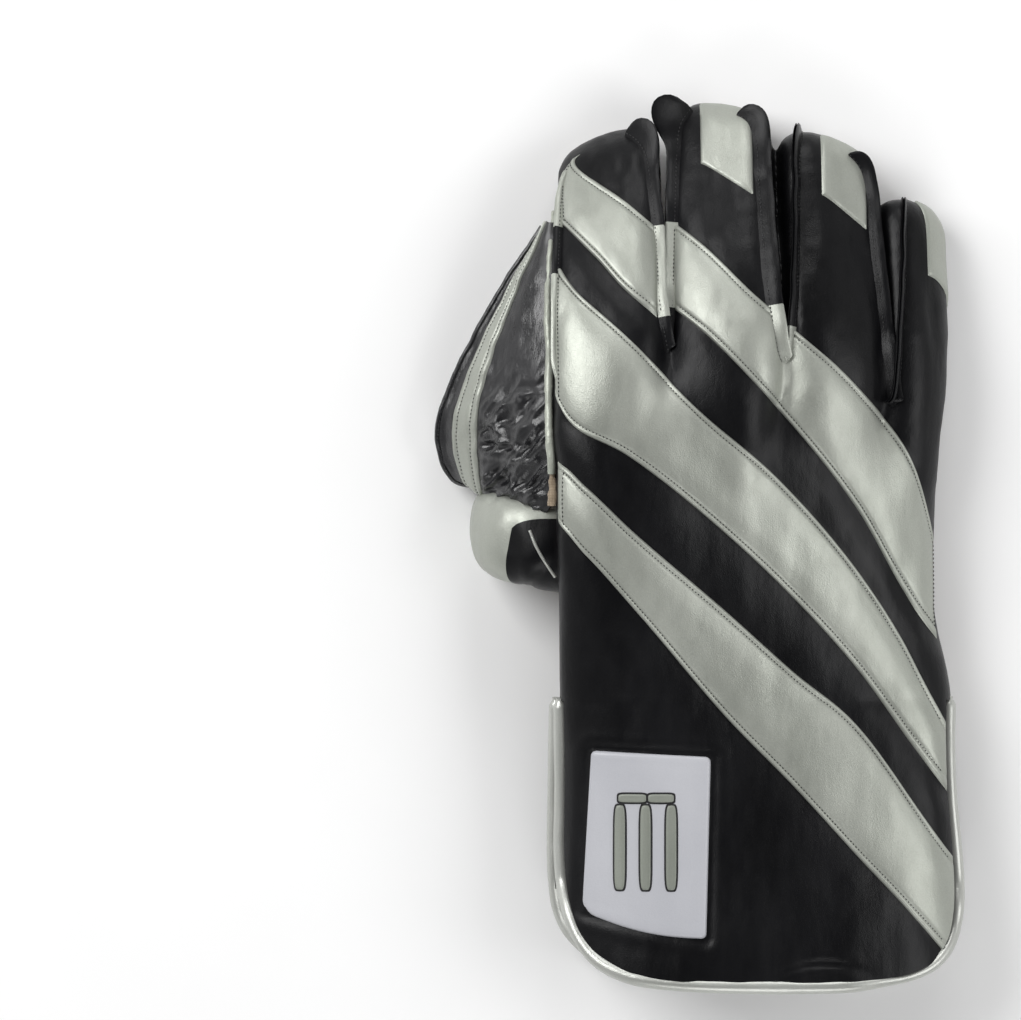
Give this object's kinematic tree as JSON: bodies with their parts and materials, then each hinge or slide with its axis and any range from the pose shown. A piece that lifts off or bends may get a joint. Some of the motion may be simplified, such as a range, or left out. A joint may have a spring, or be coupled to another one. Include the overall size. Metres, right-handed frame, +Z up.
{
  "type": "wicketkeeping glove",
  "caption": "Padded leather wicketkeeping glove for the right hand, with rubber palm, webbed thumb, silver bands and an open cuff, lying palm down.",
  "frame": {"origin": "middle of the bounding box's underside, on the surface the glove lies on", "axes": "+Y towards the fingertips, +Z up out of the back of the hand, the thumb on the -X side"},
  "size_m": [0.197, 0.3414, 0.0703],
  "materials": {
    "black_leather": "soft sheen, fine grain",
    "silver_leather": "metallic sheen, fine grain",
    "grey_rubber": "matt, pimpled",
    "grey_cloth": "brushed lining cloth",
    "badge": "soft sheen",
    "emblem": "satin"
  },
  "bodies": {
    "root": {"cuff_back": "black_leather", "back_of_hand": "black_leather", "cuff_palm": "black_leather", "wrist_elastic": "black_leather", "piping_back": "silver_leather", "piping_palm": "silver_leather", "wrist_gusset": "grey_cloth", "palm_facing": "grey_rubber", "finger_back_index": "black_leather", "finger_front_index": "grey_rubber", "finger_back_middle": "black_leather", "finger_front_middle": "grey_rubber", "finger_back_ring": "black_leather", "finger_front_ring": "grey_rubber", "finger_back_little": "black_leather", "finger_front_little": "grey_rubber", "thumb_base": "black_leather", "thumb_tip_patch": "silver_leather", "thumb_front": "grey_rubber", "web_leather": "black_leather", "web_rubber": "grey_rubber", "web_band": "silver_leather", "stripe_index": "silver_leather", "stripe_upper": "silver_leather", "stripe_middle": "silver_leather", "stripe_lower": "silver_leather", "tip_patch_middle": "silver_leather", "tip_patch_ring": "silver_leather", "tip_patch_little": "silver_leather", "badge": "badge", "badge_emblem": "emblem", "inner_cuff_patch": "silver_leather"}
  },
  "joints": []
}
